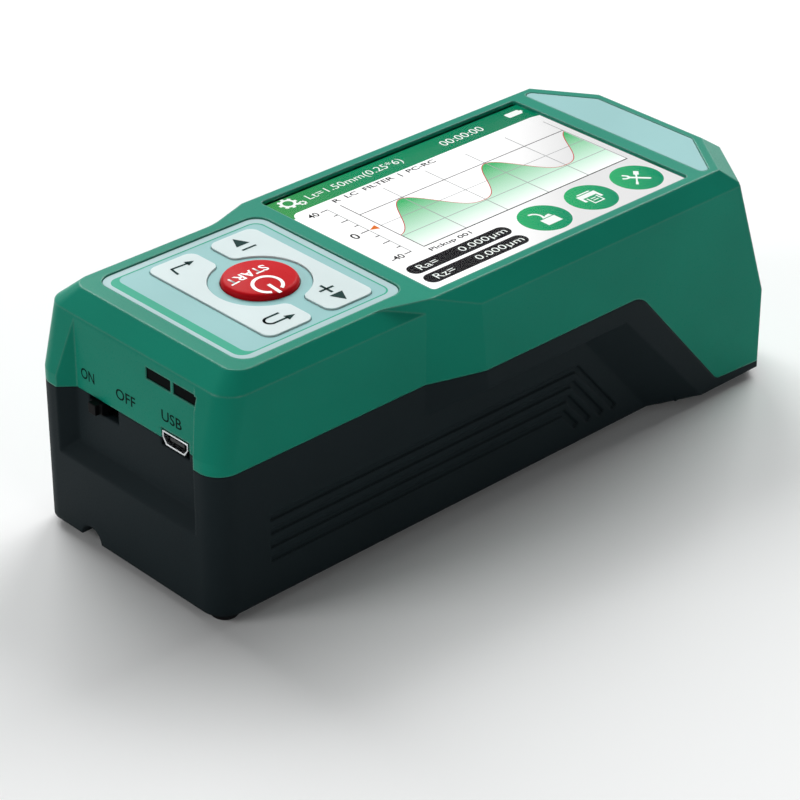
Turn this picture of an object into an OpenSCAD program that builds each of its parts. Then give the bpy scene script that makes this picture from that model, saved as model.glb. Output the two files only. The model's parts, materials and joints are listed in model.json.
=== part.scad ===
// Portable surface roughness tester: a two-part moulded case with a colour screen, a keypad,
// a recessed connector end and a faceted nose. A small motor and a screw draw a skidded
// pickup back through an open bay under the nose.
// Every module is drawn with X from the connector end to the nose, Y to the left and Z up
// from the underside of the case. place() shifts it so that the origin lies under the
// middle of the case, on the surface that the feet stand on. Sizes are in millimetres.

/* [Case] */
// Connector end to the keypad opening
keypad_x = 11.6; // [10:0.1:16]
// Length of the keypad opening
keypad_l = 42.1; // [38:0.1:50]
// Width of the keypad opening
keypad_w = 44.3; // [43:0.1:46]
// Bridge between the keypad and the screen
bridge_l = 3.8; // [3.4:0.1:8]
// Length of the screen opening
screen_l = 74; // [70:0.5:90]
// Width of the screen opening
screen_w = 51.7; // [46:0.1:57.5]
// End of the screen to the tip of the nose
nose_l = 28.5; // [27:0.5:40]
// Underside of the case to its top face
case_h = 50.5; // [46:0.5:60]
// Underside to the parting line along the sides
split_h = 31.4; // [29:0.2:35]
// Side of the keypad opening to the side of the grip
keypad_border = 5.6; // [5.4:0.1:7]
// Side of the screen opening to the side of the head, under its bevel
screen_border = 5.65; // [5.4:0.05:8]
// Thickness of the case walls
wall = 1.8; // [1.5:0.1:2.1]
// Thickness of the floor
floor_t = 2; // [1.6:0.1:2.6]
// Thickness of the rim around the screen
rim_t = 0.8; // [0.6:0.1:1.2]
// Thickness of the top under the keypad
keypad_wall = 3.2; // [3:0.1:3.6]
// Radius of the upright corners at the connector end
corner_r = 5; // [3.5:0.5:7]
// Height of the feet
foot_h = 2; // [1.9:0.1:3]
// Diameter of the feet
foot_d = 4.6; // [4:0.2:6]

/* [Bevels] */
// Bevel along the top of the grip
grip_bevel = 3.1; // [2:0.1:3.4]
// Bevel along the top of the head, across
head_bevel_w = 3.5; // [2.5:0.1:4]
// Bevel along the top of the head, down
head_bevel_h = 3.7; // [2.5:0.1:5]
// Bevel over the connector end, along the case
end_bevel = 4.7; // [3:0.1:6]
// Lean of the connector end below that bevel
end_lean = 3.3; // [2.6:0.1:3.6]
// Height over the parting line at which the end starts to lean
lean_start = 2.6; // [1:0.1:5]
// Bevel over the nose, measured square to its facets
nose_bevel = 4.5; // [3:0.1:6]
// Drop of the bevel over the nose
nose_drop = 3.1; // [2:0.1:4]
// Lean of the nose facets
nose_lean = 7.9; // [5:0.1:9]
// Height at which the nose starts to lean
nose_foot = 19; // [19:0.5:24]
// Width of the front facet at the top face
nose_front_w = 30.4; // [26:0.2:36]
// Turn of the side facets from the front facet, in degrees
nose_turn = 35; // [28:1:42]
// Flare of the head's sides towards the underside
base_flare = 1.1; // [0.2:0.1:1.6]
// Start of the screen back to the corner where the grip widens to the head
shoulder_back = 13.4; // [10:0.1:18]
// Turn of the sides at that corner, in degrees
shoulder_turn = 18; // [14:1:24]
// Radius of that corner
shoulder_r = 16; // [8:1:24]
// Radius of the corner where the head has its full width
shoulder_end_r = 30; // [15:1:40]

/* [Parting line] */
// Tip of the nose back to the corner where the parting line turns down
split_back = 48.2; // [44:0.2:52]
// Tip of the nose back to the corner at the foot of its slope
split_foot = 23; // [20:0.2:25]
// Height of the dark strip at that corner
strip_h = 2.2; // [1.8:0.1:3]
// Height of the dark strip at the tip of the nose
strip_tip_h = 0.9; // [0.8:0.1:1.6]
// Radius of the corners of the parting line
split_r = 6; // [3:0.5:8]
// Strip under the parting line along the head
shoulder_strip = 4; // [2:0.2:6]
// Drop of the shoulder under that strip
shoulder_drop = 3.2; // [2:0.2:5]
// Strip beside the sloping parting line
slope_strip = 5; // [3:0.5:7]
// Width of the blend beside that strip
slope_blend = 9.5; // [6:0.5:12]

/* [Grip grooves] */
// Number of grooves on a side
groove_n = 4; // [2:1:5]
// Width of a groove
groove_w = 1.4; // [0.8:0.1:2]
// Depth of a groove
groove_d = 0.5; // [0.3:0.1:0.8]
// Spacing of the grooves
groove_pitch = 3.1; // [2.4:0.1:3.4]
// Height of the top groove
groove_top = 18; // [17:0.5:20]
// Height at which the grooves end
groove_foot = 4; // [3:0.5:5]
// Connector end to the start of the grooves
groove_x = 13; // [9:0.5:20]
// Tip of the nose back to the bend of the top groove
groove_back = 62.6; // [58:0.2:70]
// Step of the bend from one groove to the next
groove_step = 1.2; // [0.8:0.1:2]

/* [Connector end] */
// Step from the floor of the recess to the foot of the bevel over it
recess_step = 0.15; // [0.1:0.05:0.4]
// Width of the recess at the outer face
recess_w = 42; // [41:0.5:44]
// Slope of the recess sides, across
recess_flare = 2.7; // [1:0.1:3]
// Underside to the lower edge of the recess
recess_z = 16.7; // [12:0.1:20]
// Rise of the recess ledge
recess_rise = 2.8; // [1:0.1:4]
// Length of an indicator window
lens_l = 7.4; // [5:0.1:7.6]
// Height of an indicator window
lens_h = 2.6; // [2:0.1:3]
// Bar between the indicator windows
lens_gap = 0.7; // [0.6:0.1:2]
// Middle of the indicator windows to the right of the case's middle
lens_y = 11.5; // [10:0.1:12]
// Top face down to the middle of the indicator windows
lens_drop = 6.6; // [6:0.1:8]
// Width of the socket
usb_w = 7.6; // [7:0.1:8]
// Height of the socket
usb_h = 3; // [2.8:0.1:3.4]
// Middle of the socket to the right of the case's middle
usb_y = 12; // [10:0.1:13]
// Width of the switch knob
knob_w = 3.8; // [3:0.1:4.5]
// Height of the switch knob
knob_h = 2.4; // [1.8:0.1:3]
// Travel of the switch knob
knob_travel = 3.4; // [2:0.1:4.2]
// Middle of the switch to the left of the case's middle
switch_y = 9.9; // [9:0.1:11]
// Radius of the notch in the lower edge
notch_r = 3.1; // [2:0.1:4]
// Middle of the notch to the left of the case's middle
notch_y = 12.1; // [10:0.1:14]

/* [Keys] */
// Screen end of the keypad back to the centre of the start button
button_x = 18.5; // [18.1:0.1:20]
// Diameter of the start button
button_d = 15.6; // [13:0.1:16]
// Height of the start button over the overlay
button_rise = 1.2; // [0.8:0.1:2]
// Travel of the start button
button_travel = 0.5; // [0.3:0.05:0.55]
// Diameter of the ring around the start button
ring_d = 20.9; // [19:0.1:22]
// Length of a rocker key
key_l = 37; // [34:0.5:38]
// Width of a rocker key
key_w = 11.8; // [11.4:0.1:12.2]
// Gap between the rocker keys
key_gap = 3.9; // [3:0.1:4.4]
// Corner radius of a rocker key
key_r = 2.2; // [1:0.1:3]
// Height of the rocker keys over the overlay
key_rise = 0.35; // [0.2:0.05:0.8]
// Gap around a key
key_clear = 0.14; // [0.1:0.02:0.4]
// Radius of the tips of a key beside the ring
key_tip_r = 2.2; // [1:0.1:3]
// Thickness of the keypad overlay
overlay_t = 1.2; // [1:0.1:1.3]
// Depth of the overlay below the top face
overlay_sink = 0.3; // [0.2:0.05:0.6]

/* [Traverse drive] */
// Stroke of the pickup
stroke = 17.5; // [12:0.5:18]
// Height of the drive's axis
drive_z = 12; // [11.5:0.1:12.5]
// Diameter of the lead screw
screw_d = 3; // [2.5:0.1:3.2]
// Outer diameter of the push tube
tube_d = 6; // [5.6:0.1:6.4]
// Diameter of the guide rod
rod_d = 3; // [2:0.1:3.4]
// Drive axis up to the guide rod
rod_rise = 8.5; // [8:0.1:9.5]
// Length of the nut
nut_l = 6; // [5:0.5:7]
// Length of the motor
motor_l = 14; // [12:0.5:16]
// Length of the gearbox
gearbox_l = 9; // [8:0.5:10]
// Width of the motor and gearbox
motor_w = 12; // [10:0.5:12]
// Height of the motor and gearbox
motor_h = 10; // [9:0.5:10.5]
// Radial clearance of sliding and turning fits
fit = 0.05; // [0.03:0.01:0.08]

/* [Pickup] */
// Width of the pickup bay
bay_w = 15; // [14:0.5:16]
// Height of the pickup bay
bay_h = 17; // [16.5:0.1:17]
// Tip of the nose back to the stylus
tip_back = 9; // [8:0.5:12]
// Height of the pickup's axis
pickup_z = 3.2; // [3:0.1:3.6]
// Diameter of the pickup
pickup_d = 7.5; // [7:0.1:8]
// Length of the pickup in front of its socket
pickup_l = 46; // [42:0.5:48]
// Length of the stylus arm from its pivot
arm_l = 15; // [12:0.5:18]
// Height of the skid and stylus over the surface
tip_gap = 0.1; // [0.05:0.01:0.2]

/* [Hidden] */
$fn = 64;

// Widths and stations of the case
grip_w = keypad_w + 2 * keypad_border;
head_w = screen_w + 2 * screen_border;
recess_d = end_lean - recess_step;
screen_x = keypad_x + keypad_l + bridge_l;
body_l = screen_x + screen_l + nose_l;
far = 2 * body_l;
shoulder_x = screen_x - shoulder_back;
shoulder_lead = 10;
split_x = body_l - split_back;
slope_angle = atan2(split_h - strip_h, split_back - split_foot);
end_in = recess_d + wall;
cavity_back = 34;
cavity_end = body_l - cavity_back;
nose_fit = 0.2;
grip_half = grip_w / 2;
head_half = head_w / 2;
shoulder_rise = head_half + base_flare - grip_half + grip_bevel;
shoulder_l = shoulder_rise / tan(shoulder_turn);
top_in = case_h - wall;
keypad_in = case_h - keypad_wall;

// Case screws: a post in the lower half under a boss in the upper half
post_side = 3.4;
post_end = 12;
post_turn = 10;
post_y = grip_half - wall - post_side;
post_r = 4.2;
boss_r = 3.2;
boss_gap = 2;
post_xs = [end_in + post_end, split_x - post_turn];
seat_drop = 9;
seat_z = split_h - seat_drop;
boss_end = 4;
case_screw_r = 1.4;
case_head_r = 2.75;
case_head_h = 2.2;
head_room = 0.35;

// Display stack, hung from the top
window_t = 1.2;
window_lap = 1.8;
window_side = 1.1;
lcd_t = 3;
lcd_end = 4.5;
board_t = 1.6;
window_top = case_h - rim_t;
window_fit = 0.2;
window_z = window_top - window_t;
lcd_z = window_z - lcd_t;
main_z = lcd_z - board_t;
battery_l = 50;
battery_w = 34;
battery_t = 8.5;
battery_r = 2;

// End plate
plate_gap = 3.8;
plate_margin = 1.7;
plate_corner = 1.2;
plate_ease = 1.6;
plate_t = 0.75;
plate_seat = 0.8;

// Keypad stack, hung from the top
pocket_r = 3.5;
pocket_z = case_h - overlay_sink - overlay_t;
overlay_z = case_h - overlay_sink;
button_cx = keypad_x + keypad_l - button_x;
key_lip_x = 4;
key_lip_y = 2.9;
key_base = pocket_z - 0.95;
rib_r = 0.8;
mat_t = 1;
dome_h = 0.25;
mat_top = key_base - rib_r - fit;
pad_top = mat_top - mat_t;
mat_half = keypad_w / 2 - key_lip_y;
pad_z = pad_top - board_t;
pad_side = 1.8;
pad_near = 1.4;
pad_far = 2.8;
pad_half = keypad_w / 2 + pad_side;
pad_x0 = keypad_x + pad_near;
pad_x1 = keypad_x + keypad_l - pad_far;
pad_screw_side = 2.3;
pad_screw_y = pad_half - pad_screw_side;
pad_screw_in = 2.6;
boss_h = pad_z - boss_gap - split_h;
case_screw_l = seat_drop + boss_h - boss_end;
board_gap = 0.3;
main_x0 = pad_x1 + board_gap;
main_screw_near = 2.1;
main_screw_x = main_x0 + main_screw_near;
main_past = 11.5;
main_x1 = screen_x + screen_l + main_past;
main_half = pad_half;
main_screw_side = 6;
main_screw_in = main_half - main_screw_side;
chip_l = 10;
chip_pitch = 14;
chip_t = 1.2;
chip_x = screen_x + screen_l - chip_l - 2;
tip_lap = 0.03;
tip_x0 = key_gap / 2 + key_tip_r - tip_lap;
tip_c = [tip_x0, sqrt(pow(ring_d / 2 + key_tip_r - tip_lap, 2) - pow(tip_x0, 2))];
flange_t = 0.8;
flange_over = 0.9;
crown_r = 1;

// Small board screws
bolt_r = 0.95;
bolt_l = 3.4;
bolt_head_r = 1.9;
bolt_head_h = 1.3;
bolt_boss_r = 2;
bolt_hole_r = 1;

// Connector end
end_board_in = 4.4;
end_board_side = 0.5;
end_board_low = 7.4;
end_board_top = 6.5;
end_board_x = end_in + end_board_in;
end_board_half = recess_w / 2 - end_board_side;
end_board_z0 = split_h - end_board_low;
end_board_z1 = case_h - end_board_top;
end_screw_side = 2.5;
end_screw_y = end_board_half - end_screw_side;
lens_z = case_h - lens_drop;
lens_plate = 1;
lens_edge = 0.9;
lens_fit = 0.05;
end_screw_z = (split_h + lens_z - lens_h / 2 - lens_edge) / 2;
knob_z = split_h - 0.35 - knob_h / 2;
knob_out = 1.8;
knob_base = 1.6;
slot_room = 0.9;
switch_w = 12.8;
switch_h = 5;
switch_clear = 0.1;
usb_z = split_h + 0.35;
usb_room = 0.4;
usb_t = 0.35;
usb_flank = 1;

// Feet
stem_r = 1.5;
stem_l = 2.2;
foot_in = 4.6;
foot_side = 4.3;
foot_back = 26;
foot_y = grip_half - foot_side;
foot_nose_x = body_l - foot_back;
foot_boss_r = 3.2;
foot_xs = [foot_in, foot_nose_x];

// Traverse, worked back from the stylus
tip_x = body_l - tip_back;
tip_front = 2.5;
head_l = 7;
head_top = 3.6;
head_w_in = 2;
bay_half = bay_w / 2;
bay_fit = 0.15;
bay_mouth = 20;
bay_mouth_x = body_l - bay_mouth;
pickup_x = tip_x + tip_front - pickup_l;
head_x = pickup_x - head_l;
bay_x = head_x - stroke - 2;
bracket_t = 2;
front_x = bay_x - wall - 0.2 - bracket_t;
bush_l = 4;
bush_x = front_x + bracket_t - bush_l;
nut_x = bush_x - 0.4 - nut_l;
coupling_l = 7;
coupling_r = 3.5;
coupling_x = nut_x - stroke - 0.5 - coupling_l;
rear_x = coupling_x - 0.5 - bracket_t;
gearbox_x = rear_x - gearbox_l;
motor_x = gearbox_x - motor_l;
shaft_r = 1.25;
base_z = floor_t + 2;
base_t = 2;
base_half = 12;
plate_half = 8;
rod_z = drive_z + rod_rise;
bracket_top = rod_z + 3.5;
tube_in_r = screw_d / 2 + 0.5;
bush_t = 1.4;
seat_l = 3;
nut_r = 5.2;
screw_room = 1;
saddle_in = 2;
frame_screw_in = 5;
frame_screw_y = 9.6;
frame_boss_r = 3;
plug_r = 2.4;
plug_l = 4;
slot_half = 0.9;
arm_r = 0.5;
arm_z = pickup_z - 1;
pivot_r = 0.6;
pivot_half = 2;
skid_r = 2.2;
skid_back = 3.4;
flat_z = pickup_z - pickup_d / 2 + 0.3;
surface_z = tip_gap - foot_h;
taper_l = 9;
taper = 1.3;
tip_r = 0.4;
tip_cone = 0.8;

green = [0.12, 0.48, 0.39];
black = [0.10, 0.11, 0.12];
pale = [0.67, 0.80, 0.82];
mint = [0.87, 0.93, 0.92];
steel = [0.72, 0.73, 0.75];
brass = [0.78, 0.64, 0.34];
board_green = [0.10, 0.35, 0.20];

// The finished frame
module place() {
  translate([-body_l / 2, 0, foot_h]) children();
}

// An outline in X and Z, as thick as w across the case
module across(points, w) {
  rotate([90, 0, 0]) linear_extrude(height = w, center = true) polygon(points);
}

// An outline in Y and Z, as long as l along the case
module along(points, l) {
  rotate([90, 0, 90]) linear_extrude(height = l) polygon(points);
}

// A round rod along X
module rod_x(r, l) {
  rotate([0, 90, 0]) cylinder(r = r, h = l);
}

// A flat rectangle with round corners, about its middle
module round_rect(l, w, r) {
  square([l - 2 * r, w], center = true);
  square([l, w - 2 * r], center = true);
  for (sx = [-1, 1], sy = [-1, 1])
    translate([sx * (l / 2 - r), sy * (w / 2 - r)]) circle(r = r);
}

// A block between two corners
module block(low, high) {
  translate(low) cube(high - low);
}

// A pan-head screw along +Z, its head under z = 0, with a cross recess
module pan_screw(r, l, head_r, head_h) {
  difference() {
    union() {
      translate([0, 0, -head_h]) cylinder(r = head_r, h = head_h);
      cylinder(r = r, h = l);
    }
    for (turn = [0, 90])
      translate([0, 0, -head_h]) rotate(turn)
        cube([head_r * 1.3, head_r * 0.3, head_h], center = true);
  }
}

// Points of the arc that rounds the corner b of the path a, b, c
function bend(a, b, c, r, n = 8) =
  let (u = (a - b) / norm(a - b), v = (c - b) / norm(c - b),
       half = acos(u * v) / 2, centre = b + (u + v) / norm(u + v) * r / sin(half),
       from = b + u * r / tan(half) - centre, to = b + v * r / tan(half) - centre,
       start = atan2(from[1], from[0]),
       turn = (atan2(to[1], to[0]) - start + 540) % 360 - 180)
  [for (k = [0 : n]) centre + r * [cos(start + turn * k / n), sin(start + turn * k / n)]];

// The parting line, from the connector end to the nose
split_a = [-1, split_h];
split_b = [split_x, split_h];
split_c = [body_l - split_foot, strip_h];
split_d = [body_l + 1, strip_tip_h];
split_line = concat([split_a], bend(split_a, split_b, split_c, split_r),
                    bend(split_b, split_c, split_d, split_r / 2), [split_d]);

module above_split() {
  across(concat(split_line, [[body_l + 1, case_h + 1], [-1, case_h + 1]]), far);
}

module below_split() {
  across(concat(split_line, [[body_l + 1, -1], [-1, -1]]), far);
}

// Plan of the grip, with round corners at the connector end only
module grip_plan(start, half, r, l) {
  translate([start + r, -half]) square([l - r, 2 * half]);
  translate([start, r - half]) square([l, 2 * (half - r)]);
  for (s = [-1, 1]) translate([start + r, s * (half - r)]) circle(r = r);
}

// The grip over the parting line: upright sides, a leaning end and a bevel all round
module grip_top() {
  l = shoulder_x + shoulder_l;
  lean_z = split_h + lean_start;
  bevel_z = case_h - grip_bevel;
  hull() {
    linear_extrude(height = lean_z) grip_plan(0, grip_half, corner_r, l);
    translate([0, 0, lean_z]) linear_extrude(height = bevel_z - lean_z)
      grip_plan(end_lean, grip_half, corner_r, l - end_lean);
    translate([0, 0, bevel_z]) linear_extrude(height = grip_bevel)
      grip_plan(end_lean + end_bevel, grip_half - grip_bevel, corner_r - 1.5, l - end_lean - end_bevel);
  }
}

// Plan of the head, set in by i: it widens from the grip's top edge to the full width
module head_plan(i) {
  shift = i * tan(shoulder_turn / 2);
  a = [shoulder_x - shoulder_lead + i, grip_half - grip_bevel - i];
  b = [shoulder_x + shift, a[1]];
  c = [shoulder_x + shoulder_l + shift, head_half + base_flare - i];
  d = [body_l, c[1]];
  side = concat([a], bend(a, b, c, shoulder_r - i, 10), bend(b, c, d, shoulder_end_r - i, 10), [d]);
  for (m = [0, 1]) mirror([0, m]) polygon(concat([[a[0], -1]], side, [[d[0], -1]]));
}

// One facet of the nose, set in by i, as everything behind it: bevel, lean and upright foot
module nose_facet(i, turn) {
  edge = body_l - nose_bevel - nose_lean;
  d0 = edge * cos(turn) + nose_front_w / 2 * sin(abs(turn)) - i;
  d1 = d0 + nose_bevel;
  d2 = d1 + nose_lean;
  rotate([0, 0, turn]) across([[-far, -2], [d2, -2], [d2, nose_foot],
    [d1, case_h - nose_drop - i / 2], [d0, case_h - i], [-far, case_h - i]], far);
}

// The head, set in by i: plan, section and the three facets of the nose
module head_form(i) {
  bevel_k = 0.41;
  base = head_half + base_flare - i;
  wall_z = case_h - head_bevel_h - bevel_k * i;
  brow = head_half - head_bevel_w - bevel_k * i;
  intersection() {
    linear_extrude(height = case_h) head_plan(i);
    along([[base, 0], [head_half - i, wall_z], [brow, case_h - i], [-brow, case_h - i],
      [i - head_half, wall_z], [-base, 0]], body_l);
    nose_facet(i, 0);
    nose_facet(i, nose_turn);
    nose_facet(i, -nose_turn);
  }
}

// Everything over a shoulder: a strip of full width, then a slope in to the grip
module shoulder(strip, run) {
  wide = head_half + base_flare;
  translate([-far, 0, 0]) along([[-grip_half, -strip - run], [grip_half, -strip - run],
    [wide, -strip], [wide, far], [-wide, far], [-wide, -strip]], 2 * far);
}

// The recess of the connector end: sloped sides, a sloped ledge and a flat floor
module end_recess() {
  side_k = recess_flare / recess_d;
  ledge_k = recess_rise / recess_d;
  outer = recess_w / 2;
  intersection() {
    linear_extrude(height = case_h + 1) polygon([[-1, outer + side_k], [recess_d, outer - recess_flare],
      [recess_d, recess_flare - outer], [-1, -outer - side_k]]);
    across([[-1, recess_z - ledge_k], [recess_d, recess_z + recess_rise], [recess_d, case_h + 1],
      [-1, case_h + 1]], 2 * recess_w);
  }
}

// The opening for the socket, through both halves
module usb_opening() {
  block([0, -usb_y - usb_w / 2 - usb_room, usb_z - usb_h / 2 - usb_room],
        [end_in + 1, -usb_y + usb_w / 2 + usb_room, usb_z + usb_h / 2 + usb_room]);
}

// One rocker key in plan: a rounded bar, cut by the ring, grown by g
module key_plan(side, g) {
  difference() {
    translate([button_cx + side * (key_gap + key_w) / 2, 0])
      round_rect(key_w + 2 * g, key_l + 2 * g, key_r + g);
    translate([button_cx, 0]) circle(d = ring_d - 2 * g);
    // Round tips beside the ring
    for (m = [0, 1]) translate([button_cx, 0]) mirror([side < 0 ? 1 : 0, 0]) mirror([0, m]) difference() {
      polygon([tip_c, [-1, tip_c[1]], [-1, 0], [0, 0]]);
      translate(tip_c) circle(r = key_tip_r + g);
    }
  }
}

// Outline of the nested grip grooves, in X and Z
module groove_outline() {
  for (k = [0 : groove_n - 1]) {
    z = groove_top - k * groove_pitch;
    turn_x = body_l - groove_back - k * groove_step;
    translate([groove_x, z - groove_w / 2]) square([turn_x - groove_x, groove_w]);
    translate([turn_x, z]) {
      circle(d = groove_w);
      rotate(-slope_angle) translate([0, -groove_w / 2])
        square([(z - groove_foot) / sin(slope_angle), groove_w]);
    }
  }
}

// Outline of the end plate, grown by g: it follows the facets of the nose
module plate_plan(g) {
  inset = plate_corner - g;
  near = screen_x + screen_l + plate_gap + inset;
  tip = body_l - nose_bevel - nose_lean - plate_margin - inset;
  side = head_half - head_bevel_w - plate_margin - inset;
  facet = tip * cos(nose_turn) + (nose_front_w / 2 - plate_ease) * sin(nose_turn);
  near_half = min(side, (facet - near * cos(nose_turn)) / sin(nose_turn));
  knee = max(near, (facet - side * sin(nose_turn)) / cos(nose_turn));
  hull() for (s = [-1, 1]) {
    translate([near, s * near_half]) circle(r = plate_corner, $fn = 32);
    translate([knee, s * near_half]) circle(r = plate_corner, $fn = 32);
    translate([tip, s * (nose_front_w / 2 - plate_ease)]) circle(r = plate_corner, $fn = 32);
  }
}

// Upper half of the case, one glossy green moulding
module upper_housing() color(green) place() difference() {
  union() {
    difference() {
      intersection() {
        union() {
          grip_top();
          head_form(0);
        }
        above_split();
      }
      // Hollow of the grip and of the head
      block([end_in, wall - grip_half, -1], [shoulder_x + shoulder_l, grip_half - wall, keypad_in]);
      intersection() {
        head_form(wall);
        block([keypad_x + keypad_l + wall * 0.7, -far, -1], [far, far, case_h]);
      }
    }
    // Bosses over the posts of the lower half, tied to the side walls
    for (s = [-1, 1], n = [0, 1]) {
      reach = (n == 0 ? grip_half : head_half) - wall / 2;
      translate([post_xs[n], s * post_y, split_h]) cylinder(r = boss_r, h = boss_h);
      translate([post_xs[n] - wall / 2, s > 0 ? post_y : -reach, split_h])
        cube([wall, reach - post_y, boss_h]);
    }
    // Bosses of the three boards
    for (s = [-1, 1]) {
      for (x = [pad_x0 + pad_screw_in, pad_x1 - pad_screw_in])
        translate([x, s * pad_screw_y, pad_top]) cylinder(r = bolt_boss_r, h = pocket_z - pad_top - 0.6);
      translate([main_screw_x, s * main_screw_in, lcd_z])
        cylinder(r = bolt_boss_r, h = keypad_in - lcd_z + 0.5);
      translate([main_x1 - bolt_boss_r, s * main_screw_in, lcd_z])
        cylinder(r = bolt_boss_r, h = top_in - lcd_z + 0.5);
      translate([recess_d + 0.5, s * end_screw_y, end_screw_z])
        rod_x(bolt_boss_r, end_board_x - recess_d - 0.5);
    }
  }
  end_recess();
  usb_opening();
  // Keypad: a pocket for the overlay and an opening for the keys
  translate([keypad_x + keypad_l / 2, 0, pocket_z]) linear_extrude(height = 9)
    round_rect(keypad_l, keypad_w, pocket_r);
  block([keypad_x + key_lip_x, key_lip_y - keypad_w / 2, keypad_in - 1],
        [keypad_x + keypad_l - key_lip_x, keypad_w / 2 - key_lip_y, case_h]);
  // Screen opening, and the seat of the window behind its rim
  translate([screen_x + screen_l / 2, 0, top_in - 1]) linear_extrude(height = 9)
    round_rect(screen_l, screen_w, 1);
  block([screen_x - window_lap - window_fit, -screen_w / 2 - window_side - window_fit, top_in - 1],
        [screen_x + screen_l + window_lap + window_fit, screen_w / 2 + window_side + window_fit, window_top]);
  // Seat of the end plate
  translate([0, 0, case_h - plate_seat]) linear_extrude(height = 9) plate_plan(0.1);
  // Indicator windows
  for (s = [-1, 1])
    block([0, -lens_y + s * (lens_l + lens_gap) / 2 - lens_l / 2, lens_z - lens_h / 2],
          [end_in + 1, -lens_y + s * (lens_l + lens_gap) / 2 + lens_l / 2, lens_z + lens_h / 2]);
  // Front of the pickup bay
  block([bay_mouth_x, -bay_half - wall - bay_fit, -1],
        [far, bay_half + wall + bay_fit, bay_h + wall + bay_fit]);
  // Screw holes
  for (s = [-1, 1], x = post_xs)
    translate([x, s * post_y, split_h - 1]) cylinder(r = case_screw_r + 0.1, h = boss_h - 1);
  for (s = [-1, 1]) {
    for (x = [pad_x0 + pad_screw_in, pad_x1 - pad_screw_in])
      translate([x, s * pad_screw_y, pad_top - 1]) cylinder(r = bolt_hole_r, h = bolt_l - board_t + 1.3);
    for (x = [main_screw_x, main_x1 - bolt_boss_r])
      translate([x, s * main_screw_in, lcd_z - 1]) cylinder(r = bolt_hole_r, h = bolt_l - board_t + 1.3);
    translate([end_board_x - bolt_l + board_t - 0.3, s * end_screw_y, end_screw_z])
      rod_x(bolt_hole_r, bolt_l);
  }
}

// Lower half of the case, one matt black moulding with the grip and the pickup bay
module lower_housing() color(black) place() difference() {
  union() {
    difference() {
      intersection() {
        below_split();
        union() {
          linear_extrude(height = split_h + 1) grip_plan(0, grip_half, corner_r, body_l - split_foot);
          intersection() {
            head_form(0);
            union() {
              translate([0, 0, split_h]) shoulder(shoulder_strip, shoulder_drop);
              translate([split_x, 0, split_h]) rotate([0, slope_angle, 0]) shoulder(slope_strip, slope_blend);
            }
          }
        }
      }
      block([end_in, wall - grip_half, floor_t], [cavity_end, grip_half - wall, far]);
    }
    // Floor of the nose, inside the upper half
    intersection() {
      head_form(wall + nose_fit);
      block([cavity_end, -far, 0], [far, far, floor_t]);
    }
    // Walls and roof of the pickup bay
    block([bay_x - wall, -bay_half - wall, 0], [body_l - 0.3, bay_half + wall, bay_h + wall]);
    // Posts of the case screws, frame bosses and foot bosses
    for (s = [-1, 1]) {
      for (x = post_xs) translate([x, s * post_y, 0]) cylinder(r = post_r, h = split_h);
      for (x = [rear_x + frame_screw_in, front_x - frame_screw_in + bracket_t])
        translate([x, s * frame_screw_y, 0]) cylinder(r = frame_boss_r, h = base_z);
      translate([foot_in, s * foot_y, 0]) cylinder(r = foot_boss_r, h = stem_l + 1.8);
      // Lip that lines up the upper half
      block([post_xs[0] + 7, s > 0 ? grip_half - wall - 1.3 : wall - grip_half - 0.4, split_h - 3],
            [post_xs[1] - 7, s > 0 ? grip_half - wall + 0.4 : wall - grip_half + 1.3, split_h]);
      block([post_xs[0] + 7, s > 0 ? grip_half - wall - 1.3 : wall - grip_half + 0.15, split_h - 3],
            [post_xs[1] - 7, s > 0 ? grip_half - wall - 0.15 : wall - grip_half + 1.3, split_h + 1.5]);
    }
  }
  end_recess();
  usb_opening();
  // The bay, open under the nose and at its tip, and the way in for the push tube
  block([bay_x, -bay_half, -1], [far, bay_half, bay_h]);
  translate([bay_x - wall - 1, 0, drive_z]) rod_x(tube_d / 2 + 0.5, wall + 2);
  // Slot of the switch
  block([0, switch_y - (knob_travel + knob_w) / 2 - slot_room, knob_z - knob_h / 2 - 0.35],
        [end_in + 1, switch_y + (knob_travel + knob_w) / 2 + slot_room, split_h + 1]);
  // Notch in the lower edge
  translate([-1, notch_y, -0.3]) rod_x(notch_r, recess_d + 1);
  // Grip grooves
  for (s = [-1, 1])
    translate([0, s * grip_half, 0]) rotate([90, 0, 0]) linear_extrude(height = 2 * groove_d, center = true)
      groove_outline();
  // Holes of the case screws, the drive frame and the feet
  for (s = [-1, 1]) {
    for (x = post_xs) translate([x, s * post_y, 0]) {
      translate([0, 0, -1]) cylinder(r = case_head_r + head_room, h = seat_z + 1);
      cylinder(r = case_screw_r + 0.2, h = split_h + 1);
    }
    for (x = [rear_x + frame_screw_in, front_x - frame_screw_in + bracket_t])
      translate([x, s * frame_screw_y, 0.6]) cylinder(r = bolt_hole_r, h = base_z);
    for (x = foot_xs) translate([x, s * foot_y, -1]) cylinder(r = stem_r + fit, h = stem_l + 1.3);
  }
}

// Plain plate let into the nose
module end_plate() color(pale) place()
  translate([0, 0, case_h - plate_seat]) linear_extrude(height = plate_t) plate_plan(0);

// Clear window, bonded behind the rim of the screen opening
module screen_window() color([0.8, 0.9, 0.95, 0.4]) place()
  block([screen_x - window_lap, -screen_w / 2 - window_side, window_z],
        [screen_x + screen_l + window_lap, screen_w / 2 + window_side, window_top]);

// Display panel, bonded to the window
module lcd_panel() color([0.9, 0.95, 0.92]) place()
  block([screen_x - window_lap, -screen_w / 2 - window_side + 0.4, lcd_z],
        [screen_x + screen_l + lcd_end, screen_w / 2 + window_side - 0.4, window_z]);

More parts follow.
